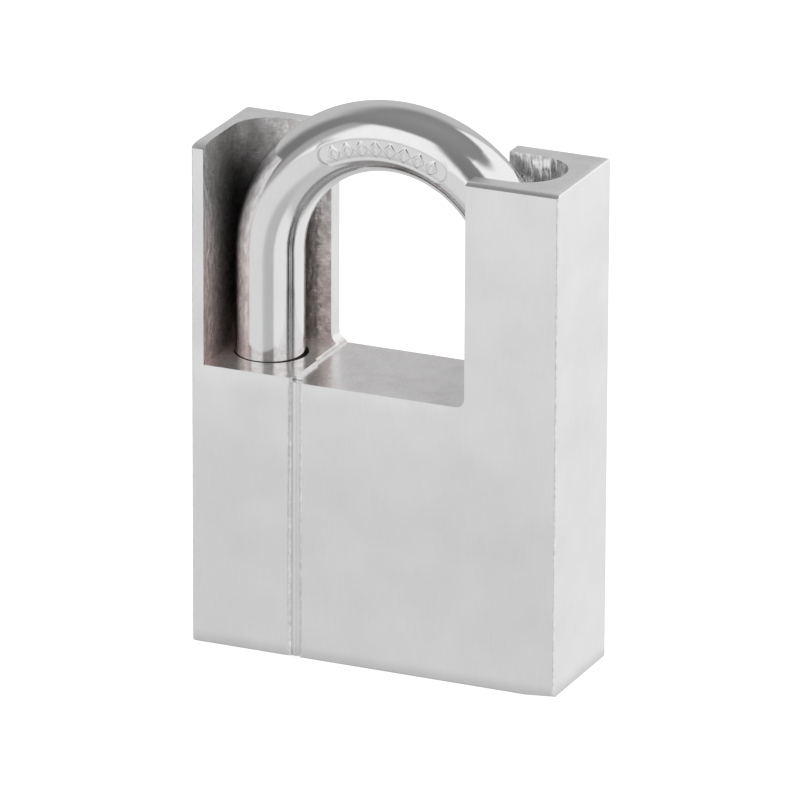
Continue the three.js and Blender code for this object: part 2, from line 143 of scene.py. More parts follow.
class Nodes:
    """A short way to write a material's node tree."""

    def __init__(self, tree):
        self.tree = tree
        tree.nodes.clear()

    def add(self, kind, values=None, **settings):
        node = self.tree.nodes.new(kind)
        for key, value in settings.items():
            setattr(node, key, value)
        for key, value in (values or {}).items():
            node.inputs[key].default_value = value
        return node

    def link(self, source, target):
        self.tree.links.new(source, target)

    def place(self, scale):
        """The piece's own coordinates, in metres, scaled to a pattern's grain."""
        where = self.add("ShaderNodeTexCoord")
        scaled = self.add("ShaderNodeMapping")
        scaled.inputs["Scale"].default_value = scale
        self.link(where.outputs["Object"], scaled.inputs["Vector"])
        return scaled.outputs["Vector"]

    def noise(self, scale, detail=3.0, rough=0.55):
        texture = self.add("ShaderNodeTexNoise", {"Scale": 1.0, "Detail": detail, "Roughness": rough})
        self.link(self.place(scale), texture.inputs["Vector"])
        return texture.outputs["Fac"]

    def range(self, source, low, high, to_low, to_high):
        ramp = self.add("ShaderNodeMapRange")
        for key, value in zip(("From Min", "From Max", "To Min", "To Max"), (low, high, to_low, to_high)):
            ramp.inputs[key].default_value = value
        self.link(source, ramp.inputs["Value"])
        return ramp.outputs["Result"]

    def math(self, operation, a, b):
        node = self.add("ShaderNodeMath", operation=operation)
        for index, value in enumerate((a, b)):
            if isinstance(value, (int, float)):
                node.inputs[index].default_value = value
            else:
                self.link(value, node.inputs[index])
        return node.outputs[0]

    def smooth(self, source, low, high, to_low=0.0, to_high=1.0):
        """Like range, with soft ends."""
        ramp = self.range(source, low, high, to_low, to_high).node
        ramp.interpolation_type = "SMOOTHSTEP"
        return ramp.outputs["Result"]

    def mix(self, factor, a, b):
        node = self.add("ShaderNodeMix", data_type="RGBA")
        self.link(factor, node.inputs["Factor"])
        node.inputs["A"].default_value = (*a, 1)
        node.inputs["B"].default_value = (*b, 1)
        return node.outputs["Result"]

    def where(self):
        """The piece's own X, Y and Z in millimetres."""
        axes = self.add("ShaderNodeSeparateXYZ")
        self.link(self.place([1 / MM] * 3), axes.inputs[0])
        return axes.outputs

    def times(self, colour, amount):
        scale = self.add("ShaderNodeVectorMath", operation="SCALE")
        self.link(colour, scale.inputs[0])
        self.link(amount, scale.inputs["Scale"])
        return scale.outputs[0]

    def tinted(self, colour, tint):
        product = self.add("ShaderNodeVectorMath", operation="MULTIPLY")
        self.link(colour, product.inputs[0])
        self.link(tint, product.inputs[1])
        return product.outputs[0]

    def bump(self, height, distance, strength=1.0, normal=None):
        node = self.add("ShaderNodeBump", {"Strength": strength, "Distance": distance})
        self.link(height, node.inputs["Height"])
        if normal:
            self.link(normal, node.inputs["Normal"])
        return node.outputs["Normal"]


def painted_light_and_shade(n, colour):
    """Painted light and shade on the plating: painted shade a little darker low down on the block and at its
    foot, painted light higher up, along the ledge and along the right edge.
    """
    axes = n.where()
    z = axes["Z"]
    # Painted shade: darker at the foot, where the block meets the floor.
    foot = n.smooth(z, 0, 2.4, 0.8, 1.0)
    # Painted light along the right edge, and painted shade lower down.
    side = n.smooth(axes["X"], RIGHT - 0.6, RIGHT - 0.1, 0, 0.965)
    low = n.math("MAXIMUM", n.smooth(z, 26, 46, 0.91, 0.985), side)
    # Painted light towards the top.
    high = n.smooth(z, 50, 82, 1.0, 1.05)
    # Painted highlight on the front just below the ledge.
    ledge_highlight = n.math("MULTIPLY", n.smooth(z, 41, 44.4, 0, 0.05), n.smooth(z, 45, 50, 1, 0))
    ledge_highlight = n.math("MULTIPLY", ledge_highlight, n.smooth(axes["X"], 10, 15, 1, 0))
    painted_tones = n.math("MULTIPLY", n.math("MULTIPLY", foot, n.math("ADD", ledge_highlight, 1)), n.math("MULTIPLY", low, high))
    return n.times(colour, painted_tones)


def painted_shade_by_shoulder(n, colour):
    """The ledge's plating with painted shade, a little darker towards the right shoulder."""
    return n.times(colour, n.smooth(n.where()["X"], 0, 12, 0.98, 0.91))


def worn_band_and_painted_sheen(n, colour):
    """The top's plating, a little brighter along the right edge: partly a band worn by rubbing, partly a
    painted sheen.
    """
    return n.times(colour, n.smooth(n.where()["X"], RIGHT - 1.6, RIGHT - 0.2, 1.0, 1.12))


def deep(n, colour):
    """The pocket's plating with painted shade: dark in the inner corner, with painted light at the mouth, the
    wall's end, the walls' foot and the top of the back wall, and browner low down."""
    axes = n.where()
    ragged = n.range(n.noise([1 / (MM * 0.7)] * 3, 3.0, 0.6), 0.3, 0.7, -0.7, 0.7)
    depth = n.math("ADD", axes["Y"], ragged)
    # Painted light: lighter towards the pocket's mouth, in a streak at the wall's end, at the walls' foot and
    # at the top.
    mouth = n.math("MINIMUM", n.smooth(depth, -8.5, 2.5, 1, 0), 0.95)
    mouth = n.math("MAXIMUM", n.smooth(depth, -9.8, -8.6, 1, 0), mouth)
    end = n.smooth(n.math("ADD", axes["X"], ragged), -17.2, -16.0, 0.4, 1)
    end = n.math("MULTIPLY", end, n.smooth(axes["X"], -21, -18, 0, 1))
    foot = n.smooth(axes["Z"], 44.5, 50, 0.7, 0)
    top = n.math("MULTIPLY", n.smooth(axes["Z"], 66, 75, 0, 1), n.smooth(axes["X"], -28.2, -24.5, 0, 1))
    top = n.math("MAXIMUM", n.smooth(axes["Z"], 71, 79, 0, 0.55), top)
    painted_light_mask = n.math("MAXIMUM", n.math("MAXIMUM", mouth, foot), n.math("MAXIMUM", end, top))
    # Browner low down in the pocket.
    tint = n.mix(n.smooth(axes["Z"], 52, 74), (1, 0.895, 0.875), (1, 1, 1))
    # Painted shade: the colour falls to a tenth where no painted light reaches.
    return n.times(n.tinted(colour, tint), n.range(painted_light_mask, 0, 1, 0.1, 1))


def browner_left_corner(n, colour):
    """The pocket floor's plating, browner in its left corner."""
    tint = n.mix(n.smooth(n.where()["X"], -27.5, -22.5), (1, 0.87, 0.85), (1, 0.99, 0.97))
    return n.tinted(colour, tint)


def metal(name, light, dark, roughness, brush, brush_depth, mottle=9.0, spread=0.05, dents=0.0,
          dent_size=(1.6, 1.6, 1.6), shade=None, blend=0.15, metallic=1.0):
    """Bare or plated metal. brush is the grain's length in mm along X, Y and Z; mottle is the size of the
    slow change in tone and blend its softness; spread is how much the roughness varies; dents adds a shallow
    uneven surface; metallic below 1 makes it dull."""
    material = bpy.data.materials.new(name)
    material.use_nodes = True
    n = Nodes(material.node_tree)
    shader = n.add("ShaderNodeBsdfPrincipled", {"Metallic": metallic})
    output = n.add("ShaderNodeOutputMaterial")
    n.link(shader.outputs[0], output.inputs[0])

    grain = n.noise([1 / (MM * size) for size in brush], 4.0, 0.6)
    cloud = n.noise([1 / (MM * mottle)] * 3, 3.0, 0.5)
    tone = n.math("ADD", n.math("MULTIPLY", grain, 0.45), n.math("MULTIPLY", cloud, 0.55))
    colour = n.mix(n.range(tone, 0.5 - blend, 0.5 + blend, 0.0, 1.0), dark, light)
    if shade:
        colour = shade(n, colour)
    n.link(colour, shader.inputs["Base Color"])
    rough = n.range(tone, 0.3, 0.7, roughness + spread, roughness - spread)
    n.link(rough, shader.inputs["Roughness"])

    normal = n.bump(grain, brush_depth * MM)
    if dents:
        waves = n.noise([1 / (MM * size) for size in dent_size], 2.0, 0.5)
        normal = n.bump(waves, dents * MM, normal=normal)
    n.link(normal, shader.inputs["Normal"])
    return material


# The front's colour carries painted light and shade.
plate_front = metal(
    "plate_satin", (0.91, 0.91, 0.915), (0.85, 0.85, 0.855), 0.32, (0.09, 0.09, 5), 0.004,
    dents=0.012, dent_size=(5, 5, 7), shade=painted_light_and_shade,
)
plate_top = metal(
    "plate_top", (0.925, 0.925, 0.93), (0.81, 0.81, 0.815), 0.26, (1.8, 0.08, 0.5), 0.003, 3.5, shade=worn_band_and_painted_sheen,
)
plate_edge = metal(
    "plate_edge", (0.98, 0.98, 0.98), (0.78, 0.78, 0.78), 0.3, (0.3, 0.3, 0.6), 0.006, 1.1,
    dents=0.03, dent_size=(0.6, 0.6, 2.4), blend=0.1,
)
plate_ledge = metal(
    "plate_ledge", (0.96, 0.945, 0.945), (0.82, 0.8, 0.8), 0.26, (0.1, 2.5, 0.5), 0.006, 4.0, shade=painted_shade_by_shoulder,
    metallic=0.85,
)
plate_floor = metal(
    "plate_pocket_floor", (1.0, 0.99, 0.985), (0.8, 0.77, 0.76), 0.16, (0.5, 0.5, 0.5), 0.012, 1.6,
    dents=0.045, dent_size=(1.2, 1.2, 1.2), shade=browner_left_corner, blend=0.1, metallic=0.6,
)
# The pocket walls' colour carries painted shade and painted light.
milled = metal(
    "plate_milled", (1.0, 0.985, 0.98), (0.68, 0.655, 0.645), 0.32, (1.4, 1.4, 0.14), 0.03, 1.6, 0.1,
    dents=0.11, dent_size=(0.8, 0.8, 1.5), shade=deep, blend=0.08, metallic=0.88,
)
channel = metal(
    "plate_channel", (1.0, 1.0, 1.0), (0.62, 0.61, 0.61), 0.14, (0.35, 0.35, 1.6), 0.02, 1.4, 0.06,
    dents=0.14, dent_size=(0.9, 0.9, 3.5), blend=0.07, metallic=0.8,
)
plate_under = metal("plate_under", (0.86, 0.86, 0.865), (0.8, 0.8, 0.805), 0.3, (2.5, 0.1, 0.5), 0.004)
chrome = metal(
    "shackle_chrome", (0.86, 0.86, 0.865), (0.825, 0.825, 0.83), 0.11, (0.3, 0.3, 1.2), 0.0004, 6.0, 0.02,
    dents=0.008, dent_size=(2.4, 2.4, 2.4),
)
ground = metal("ground_steel", (0.6, 0.61, 0.63), (0.46, 0.47, 0.49), 0.26, (0.08, 1.5, 0.08), 0.003, 2.0)
wire = metal("spring_wire", (0.66, 0.67, 0.69), (0.5, 0.51, 0.53), 0.24, (0.1, 0.1, 0.1), 0.002, 1.0)
brass = metal(
    "turned_brass", (0.78, 0.6, 0.29), (0.62, 0.45, 0.2), 0.28, (0.12, 0.12, 0.12), 0.004, 3.0, 0.07,
)
brass_plug = metal(
    "plug_brass", (0.83, 0.66, 0.34), (0.68, 0.51, 0.24), 0.24, (0.1, 0.1, 0.6), 0.004, 2.0, 0.07,
)

# ------------------------------------------------------------------ mesh pieces


def arc(x, y, radius, start, end, steps):
    """Points along an arc, angles in degrees."""
    angles = [math.radians(start + (end - start) * step / steps) for step in range(steps + 1)]
    return [(x + radius * math.cos(angle), y + radius * math.sin(angle)) for angle in angles]


def as_object(name, mesh):
    piece = bpy.data.objects.new(name, mesh)
    scene.collection.objects.link(piece)
    return piece


def from_bmesh(name, bm):
    bmesh.ops.recalc_face_normals(bm, faces=bm.faces)
    mesh = bpy.data.meshes.new(name)
    bm.to_mesh(mesh)
    bm.free()
    return as_object(name, mesh)


def loft(name, rings):
    """A closed solid through rings of the same number of points, capped at both ends. Points in mm."""
    bm = bmesh.new()
    rows = [[bm.verts.new(Vector(point) * MM) for point in ring] for ring in rings]
    count = len(rows[0])
    for low, high in zip(rows, rows[1:]):
        for i in range(count):
            j = (i + 1) % count
            bm.faces.new((low[i], low[j], high[j], high[i]))
    bm.faces.new(rows[0][::-1])
    bm.faces.new(rows[-1])
    return from_bmesh(name, bm)


def prism(name, outline, low, high, turn=None):
    """An outline in X and Y raised from low to high in Z, then turned by a matrix."""
    rings = [[(x, y, z) for x, y in outline] for z in (low, high)]
    piece = loft(name, rings)
    if turn:
        piece.data.transform(turn)
    return piece


def slab(name, outline, front, back):
    """An outline in X and Z drawn out from front to back in Y."""
    return loft(name, [[(x, y, z) for x, z in outline] for y in (front, back)])


def rod(name, x, y, radius, low, high, axis="Z", sides=96):
    """A round bar along an axis; x and y are its place across that axis, in cyclic order."""
    order = {"Z": (0, 1, 2), "X": (2, 0, 1), "Y": (1, 2, 0)}[axis]
    circle = arc(x, y, radius, 0, 360 * (1 - 1 / sides), sides - 1)
    rings = [[[(a, b, c)[k] for k in order] for a, b in circle] for c in (low, high)]
    return loft(name, rings)


def block(name, x, y, z):
    (x0, x1), (y0, y1), (z0, z1) = x, y, z
    return prism(name, [(x0, y0), (x1, y0), (x1, y1), (x0, y1)], z0, z1)


def settle(piece):
    """Turns what the piece's modifiers make into its mesh."""
    graph = bpy.context.evaluated_depsgraph_get()
    mesh = bpy.data.meshes.new_from_object(piece.evaluated_get(graph))
    piece.modifiers.clear()
    old = piece.data
    piece.data = mesh
    mesh.name = piece.name
    bpy.data.meshes.remove(old)


def discard(piece):
    mesh = piece.data
    bpy.data.objects.remove(piece)
    bpy.data.meshes.remove(mesh)


def cut(piece, tools):
    for tool in tools:
        modifier = piece.modifiers.new("cut", "BOOLEAN")
        modifier.operation = "DIFFERENCE"
        modifier.solver = "EXACT"
        modifier.object = tool
    settle(piece)
    for tool in tools:
        discard(tool)


def join(piece, other):
    modifier = piece.modifiers.new("join", "BOOLEAN")
    modifier.operation = "UNION"
    modifier.solver = "EXACT"
    modifier.object = other
    settle(piece)
    discard(other)


def break_edges(piece, width, segments=2, angle=32, edge_material=-1):
    """Rounds every sharp edge by width, in mm."""
    weld = piece.modifiers.new("weld", "WELD")
    weld.merge_threshold = 0.002 * MM
    bevel = piece.modifiers.new("edges", "BEVEL")
    bevel.width = width * MM
    bevel.segments = segments
    bevel.limit_method = "ANGLE"
    bevel.angle_limit = math.radians(angle)
    bevel.miter_outer = "MITER_ARC"
    bevel.material = edge_material
    settle(piece)


def smooth(piece, angle=30):
    piece.data.polygons.foreach_set("use_smooth", [True] * len(piece.data.polygons))
    piece.data.set_sharp_from_angle(angle=math.radians(angle))
    weighted = piece.modifiers.new("normals", "WEIGHTED_NORMAL")
    weighted.keep_sharp = True
    weighted.weight = 80


def finish(piece, body, slot, materials, *replaced):
    for material in materials:
        piece.data.materials.append(material)
    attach(piece, body)
    if replaced:
        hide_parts(*replaced)


# ------------------------------------------------------------------------ block


def rounded_rectangle(half_x, half_y, radius, steps=5):
    x, y = half_x - radius, half_y - radius
    corners = ((x, -y, -90), (x, y, 0), (-x, y, 90), (-x, -y, 180))
    return [p for cx, cy, start in corners for p in arc(cx, cy, radius, start, start + 90, steps)]


def outer_block():
    """The plain block: tight corners, and softer edges round the underside and the top."""

    def end_rings(radius, end, direction):
        rings = []
        for step in range(EDGE_STEPS + 1):
            angle = math.radians(90 * step / EDGE_STEPS)
            inset = radius * (1 - math.sin(angle))
            z = end + direction * radius * (1 - math.cos(angle))
            outline = rounded_rectangle(RIGHT - inset, BACK - inset, CORNER_R + inset * 0.4)
            rings.append([(x, y, z) for x, y in outline])
        return rings

    return loft("block", end_rings(FOOT_EDGE_R, 0, 1) + end_rings(TOP_EDGE_R, TOP, -1)[::-1])


def worn_edge(name, sag, reach, left, right):
    """Above a front edge of the top that falls away by sag over reach, between two places along X."""
    radius = (reach ** 2 + sag ** 2) / (2 * sag)
    spread = math.degrees(math.asin(min(reach / radius, 1)))
    curve = arc(FRONT + reach, TOP - radius, radius, 90, 90 + spread, 10)
    outline = [(FRONT + reach, TOP + 1), *curve, (FRONT - 1, TOP - sag - 0.3), (FRONT - 1, TOP + 1)]
    along_x = Matrix(((0, 0, 1), (1, 0, 0), (0, 1, 0))).to_4x4()
    return prism(name, outline, left, right, along_x)


def ground_corner():
    """Below the slanting cut across the block's lower corner at the front right."""
    a = Vector((RIGHT - 6.0, FRONT, 0))
    b = Vector((RIGHT, FRONT, 0.75))
    c = Vector((RIGHT, FRONT + 1.3, 0))
    along = (b - a).normalized()
    down = (c - a).cross(along).normalized()
    if down.z > 0:
        down = -down
    across = down.cross(along)
    cutter = block("ground_corner", (-12, 12), (-12, 12), (0, 12))
    axes = Matrix((along, across, down)).transposed().to_4x4()
    cutter.data.transform(Matrix.Translation(b * MM) @ axes)
    return cutter


def opening_outline():
    """Between the shoulders, down to the ledge, square at the left."""
    top = TOP + 1
    right = SHOULDER_X - FOOT_ROUND
    return [
        (STEP_FACE_X, top),
        (STEP_FACE_X, LEDGE_Z),
        *arc(right, LEDGE_Z + FOOT_ROUND, FOOT_ROUND, -90, 0, 12),
        (SHOULDER_X, top),
    ]


def wall_end_outline():
    """The end of the left shoulder's back wall, with the wide round at its foot."""
    top = TOP + 1
    middle = WALL_END_X + WALL_FOOT
    foot = arc(middle, LEDGE_Z + WALL_FOOT, WALL_FOOT, 180, 270, 20)
    return [(WALL_END_X, top), *foot, (middle + 2, LEDGE_Z), (middle + 2, top)]


def pocket_outline():
    left = LEFT + SIDE_WALL
    back = BACK - BACK_WALL
    return [
        (left, FRONT - 1),
        (STEP_X, FRONT - 1),
        (STEP_X, back),
        *arc(left + POCKET_ROUND, back - POCKET_ROUND, POCKET_ROUND, 90, 180, 24),
    ]


def channel_outline():
    inner = SHOULDER_X - 1
    return [*arc(CHANNEL_X, 0, CHANNEL_R, -90, 90, 48), (inner, CHANNEL_R), (inner, -CHANNEL_R)]


def seam_outline():
    """The slot for the strip, with chamfered sides that make half of each groove."""
    inner = SEAM_HALF - SEAM_CHAMFER
    deep = FRONT + SEAM_CHAMFER * SEAM_SLOPE
    flare = SEAM_CHAMFER * (1 + 1 / (SEAM_CHAMFER * SEAM_SLOPE))
    half = [(inner, FRONT + SEAM_DEPTH), (inner, deep), (inner + flare, FRONT - 1)]
    return [(SEAM_X - x, y) for x, y in reversed(half)] + [(SEAM_X + x, y) for x, y in half]


def build_block():
    piece = outer_block()
    leg_hole = BAR_R + LEG_GAP
    cut(piece, [
        slab("opening", opening_outline(), FRONT - 1, BACK + 1),
        slab("wall_end", wall_end_outline(), WALL_FOOT_FRONT, BACK + 1),
        prism("pocket", pocket_outline(), POCKET_Z, TOP + 1),
        prism("channel", channel_outline(), LEDGE_Z, TOP + 1),
        rod("toe_hole", TOE_X + 0.14, 0.1, leg_hole + 0.12, TOE_HOLE_Z, POCKET_Z + 1),
        rod("heel_hole", HEEL_X, 0, leg_hole, HEEL_HOLE_Z, LEDGE_Z + 1),
        rod("ball_bore", 0, BALL_Z, BALL_R + FIT, LEFT - 1, HEEL_X, "X"),
        prism("seam", seam_outline(), -1, POCKET_Z + 1),
        rod("cylinder_bore", LOCK_X, 0, HOUSING_R + FIT, -1, BORE_TOP_Z),
        block(
            "arm_bore", (LOCK_X, HOUSING_HIGH.x + FIT), (-ARM_BORE_HALF, ARM_BORE_HALF),
            (-1, ARM_BORE_TOP_Z),
        ),
        rod("pin_bore", RETAINER_Z, RETAINER_X, RETAINER_HOLE_R, RETAINER_FRONT - 0.3, BACK + 1, "Y", 48),
        worn_edge("worn_left", 0.7, 3.6, LEFT - 1, LEFT + SIDE_WALL + 2),
        worn_edge("worn_right", 0.45, 1.3, SHOULDER_X - 1, RIGHT + 1),
        ground_corner(),
    ])
    break_edges(piece, 0.1, 2, 32, EDGE_FINISH)
    return piece


block_piece = build_block()
block_piece.name = "block"


block_finishes = [plate_front, plate_edge, plate_top, plate_ledge, plate_floor, milled, plate_under, channel]


def finish_of(face):
    """Which of the block's finishes a face has, by where it is and which way it looks."""
    x, y, z = face.center / MM
    up = face.normal.z
    corner = min(x - LEFT, RIGHT - x) < CORNER_R and y < FRONT + CORNER_R and abs(face.normal.y) < 0.99
    groove = 0.02 < y - FRONT < 0.5 and z < POCKET_Z and abs(x - SEAM_X) < SEAM_HALF + 0.1
    if face.material_index == EDGE_FINISH or corner or groove:
        return plate_edge
    if up > 0.7 and z > TOP - 1:
        return plate_top
    if up < -0.7 and z < 1:
        return plate_under
    if up > 0.5 and LEDGE_Z - 0.5 < z < POCKET_Z + 0.3:
        return plate_floor if x < STEP_X and y < BACK - BACK_WALL else plate_ledge
    if z < LEDGE_Z - 0.1 and abs(y) < BACK - 1.5 and abs(x) < RIGHT - 1:
        return milled
    if z < LEDGE_Z or abs(y) > BACK - 0.6 or x < LEFT + 0.6:
        return plate_front
    if x < WALL_END_X - 0.1:
        return milled
    if abs(x - WALL_END_X) < 0.1:
        return plate_under
    if SHOULDER_X + 0.1 < x < RIGHT - 1:
        return channel
    return plate_front


surfaces = [block_finishes.index(finish_of(face)) for face in block_piece.data.polygons]
finish(block_piece, "lock_body", "body_plate", block_finishes, "body_block")
block_piece.data.polygons.foreach_set("material_index", surfaces)
smooth(block_piece)

# --------------------------------------------------------------------- seam strip


def seam_strip():
    """The narrow strip in the front face; its chamfers and the block's make two shallow grooves."""
    half = SEAM_HALF - SEAM_CHAMFER
    back = FRONT + SEAM_DEPTH - 0.1
    deep = FRONT + SEAM_CHAMFER * SEAM_SLOPE
    outline = [
        (-half, back),
        (-half, deep),
        (-half + SEAM_CHAMFER, FRONT),
        (half - SEAM_CHAMFER, FRONT),
        (half, deep),
        (half, back),
    ]
    piece = prism("strip", [(SEAM_X + x, y) for x, y in outline], 0.2, LEDGE_Z - 0.05)
    break_edges(piece, 0.05, 2, 20)
    smooth(piece)
    return piece


finish(seam_strip(), "lock_body", "body_plate", [plate_front], "seam_strip")

# ------------------------------------------------------------------------ shackle

CARTOUCHE_HALF = 11.0
CARTOUCHE_R = 1.78
CARTOUCHE_TILT = -7.0
CARTOUCHE_DEPTH = 0.14
RIM_HEIGHT = 0.03
LOZENGE_PITCH = 2.35
LOZENGES = 8
LOZENGE_HALF = (1.15, 1.45)
LOZENGE_HEIGHT = 0.1


def ease(value, low, high):
    t = min(max((value - low) / (high - low), 0.0), 1.0)
    return t * t * (3 - 2 * t)


def cartouche(along, across):
    """How far the bar's surface is raised: a stamped oval, filled with a row of open lozenges."""
    past_end = max(abs(along) - (CARTOUCHE_HALF - CARTOUCHE_R), 0.0)
    edge = math.hypot(past_end, across) - CARTOUCHE_R
    height = -CARTOUCHE_DEPTH * ease(-edge, 0.0, 0.36)
    height += RIM_HEIGHT * math.exp(-(((edge - 0.12) / 0.16) ** 2))
    place = round(along / LOZENGE_PITCH + 0.5) - 0.5
    if abs(place) < LOZENGES / 2:
        ring = abs(along - place * LOZENGE_PITCH) / LOZENGE_HALF[0] + abs(across) / LOZENGE_HALF[1]
        height += LOZENGE_HEIGHT * ease(0.36 - abs(ring - 0.7), 0.0, 0.3)
    return height


def bar_angles():
    """Angles round the bar: 0 faces the front and 90 faces away from the bow's middle."""
    fine_from, fine_to = -30, 16
    coarse = 66
    angles = [fine_from + step for step in range(fine_to - fine_from)]
    rest = 360 - (fine_to - fine_from)
    return angles + [fine_to + rest * step / coarse for step in range(coarse)]


def shackle_line():
    """Stations along the bar: (middle, outward direction, bar radius, place along the cartouche)."""
    left, right = Vector((-1, 0, 0)), Vector((1, 0, 0))
    round_end = [
        (BAR_R - LEG_END_R * (1 - math.sin(t)), LEG_END_R * (1 - math.cos(t)))
        for t in (math.radians(15 * step) for step in range(1, 7))
    ]
    stations = []
    for radius, rise in round_end:
        stations.append((Vector((TOE_X, 0, TOE_END_Z + rise)), left, radius, None))
    straight = BOW_Z - TOE_END_Z - LEG_END_R
    for step in range(1, 12):
        z = TOE_END_Z + LEG_END_R + straight * step / 12
        stations.append((Vector((TOE_X, 0, z)), left, BAR_R, None))
    turns = [180 - 3 * step for step in range(18)]
    turns += [126 - 0.4 * step for step in range(180)]
    turns += [54 - 3 * step for step in range(19)]
    for turn in turns:
        angle = math.radians(turn)
        out = Vector((math.cos(angle), 0, math.sin(angle)))
        along = math.radians(CARTOUCHE_TURN - turn) * (BOW_R - 0.6)
        stations.append((Vector((BOW_X, 0, BOW_Z)) + out * BOW_R, out, BAR_R, along))
    neck = [(z, BAR_R) for z in (55, 48, 41, 34, 27)]
    slope = BAR_R - NECK_R
    for side in (1, -1):
        flank = [(NECK_HALF + slope / 2 + 0.15, BAR_R), (NECK_HALF + slope / 2 - 0.1, BAR_R - 0.1)]
        flank += [(NECK_HALF + 0.15, NECK_R + 0.15), (NECK_HALF - 0.1, NECK_R)]
        neck += [(NECK_Z + side * offset, radius) for offset, radius in flank[::side]]
    neck += [(HEEL_END_Z + rise, radius) for radius, rise in reversed(round_end)]
    for z, radius in neck:
        stations.append((Vector((HEEL_X, 0, z)), right, radius, None))
    return stations


def build_shackle():
    angles = bar_angles()
    rings = []
    for middle, out, radius, along in shackle_line():
        ring = []
        for degrees in angles:
            angle = math.radians(degrees)
            raised = 0.0
            if along is not None and abs(along) < CARTOUCHE_HALF + 1 and abs(degrees - CARTOUCHE_TILT) < 23:
                raised = cartouche(along, math.radians(degrees - CARTOUCHE_TILT) * BAR_R)
            arm = Vector((0, -math.cos(angle), 0)) + out * math.sin(angle)
            ring.append(middle + arm * (radius + raised))
        rings.append(ring)
    piece = loft("shackle_bar", rings)
    notches = [ball_mesh("notch", LOCK_X + side * BALL_LOCKED, BALL_Z, BALL_NOTCH_R) for side in (-1, 1)]
    cut(piece, notches)
    smooth(piece, 40)
    return piece


def ball_mesh(name, x, z, radius):
    bm = bmesh.new()
    bmesh.ops.create_uvsphere(bm, u_segments=64, v_segments=32, radius=radius * MM)
    bmesh.ops.translate(bm, verts=bm.verts, vec=Vector((x, 0, z)) * MM)
    return from_bmesh(name, bm)


finish(build_shackle(), "shackle", "shackle_chrome", [chrome], "shackle")

# ----------------------------------------------------------------------- cylinder


def build_housing():
    """The brass housing: a round barrel and the flat-sided arm that holds the pin stacks."""
    barrel = rod("barrel", LOCK_X, 0, HOUSING_R, HOUSING_LOW.z, HOUSING_HIGH.z)
    arm = block("arm", (LOCK_X, HOUSING_HIGH.x), (-ARM_HALF, ARM_HALF), (HOUSING_LOW.z, HOUSING_HIGH.z))
    join(barrel, arm)
    tools = [rod("bore", LOCK_X, 0, PLUG_R + FIT, HOUSING_LOW.z - 1, HOUSING_HIGH.z + 1)]
    for z in PIN_HEIGHTS:
        tools.append(rod("chamber", 0, z, PIN_R + FIT, LOCK_X, HOUSING_HIGH.x + 1, "X", 32))
    seat = (HOUSING_HIGH.x - 0.9, HOUSING_HIGH.x + 1)
    tools.append(block("cover_seat", seat, (-2.3, 2.3), (PIN_HEIGHTS[0] - 2.1, PIN_HEIGHTS[-1] + 2.1)))
    tools.append(rod("pin_hole", RETAINER_Z, RETAINER_X, RETAINER_HOLE_R, -7, 9, "Y", 32))
    cut(barrel, tools)
    break_edges(barrel, 0.12, 2, 35)
    barrel.name = "cylinder"
    smooth(barrel)
    return barrel


def build_plug():
    """The plug: its keyway, pin holes, the groove for its clip and the tang that turns the cam."""
    profile = [
        (PLUG_LOW.z, PLUG_R - 0.3),
        (PLUG_LOW.z + 0.3, PLUG_R),
        (CLIP_Z - CLIP_HALF, PLUG_R),
        (CLIP_Z - CLIP_HALF, PLUG_R - 1),
        (CLIP_Z + CLIP_HALF, PLUG_R - 1),
        (CLIP_Z + CLIP_HALF, PLUG_R),
        (PLUG_SHOULDER_Z, PLUG_R),
        (PLUG_SHOULDER_Z + 0.2, PLUG_R - 0.2),
    ]
    rings = [[(x, y, z) for x, y in arc(LOCK_X, 0, radius, 0, 356.25, 95)] for z, radius in profile]
    plug = loft("key_plug", rings)
    tang = block("tang", (LOCK_X - 1.5, LOCK_X + 1.5), (-3, 3), (28, PLUG_HIGH.z))
    join(plug, tang)
    tools = [prism("keyway", keyway_outline(), PLUG_LOW.z - 1, KEYWAY_TOP_Z)]
    for z in PIN_HEIGHTS:
        tools.append(rod("pin_hole", z, LOCK_X, PIN_R + FIT, -1.2, PLUG_R + 1, "Y", 32))
    cut(plug, tools)
    break_edges(plug, 0.06, 2, 35)
    smooth(plug)
    return plug


def keyway_outline():
    """A slot with two steps, in the plug's rest position."""
    local = [
        (-4.2, -0.3), (-1.5, -0.3), (-1.5, -0.9), (1.1, -0.9), (1.1, -0.5), (2.8, -0.5),
        (2.8, 1.0), (0.9, 1.0), (0.9, 0.6), (-1.3, 0.6), (-1.3, 1.1), (-4.2, 1.1),
    ]
    return [(LOCK_X - y, x) for x, y in local]


finish(build_housing(), "lock_body", "cylinder_brass", [brass], "cylinder_housing")
finish(build_plug(), "plug", "plug_brass", [brass_plug], "plug")


def flush_pin(name, x, y, radius, low, high, axis):
    piece = rod(name, x, y, radius, low, high, axis)
    break_edges(piece, 0.14, 3, 40)
    smooth(piece)
    return piece


ball_plug = flush_pin("bore_plug", 0, BALL_Z, BALL_R, LEFT + SUNK, TOE_X - BAR_R - 0.6, "X")
finish(ball_plug, "lock_body", "body_plate", [plate_front], "ball_bore_plug")
retainer = flush_pin("retainer", RETAINER_Z, RETAINER_X, RETAINER_R, RETAINER_FRONT, BACK - SUNK, "Y")
finish(retainer, "lock_body", "hard_steel", [ground], "retaining_pin")

# ------------------------------------------------------- finishes of the CAD nodes


def dress(material, *names):
    for name in names:
        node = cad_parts[name]
        node.data.materials.clear()
        node.data.materials.append(material)
        smooth(node, 35)


def numbered(name):
    return [f"{name}_{row + 1}" for row in range(PIN_ROWS)]


dress(ground, "toe_ball", "heel_ball", "locking_cam", *numbered("driver_pin"))
dress(wire, "shackle_spring", "plug_clip", *numbered("pin_spring"))
dress(brass, "pin_chamber_cover")
dress(brass_plug, *numbered("key_pin"))

# ---------------------------------------------------------------- floor and light


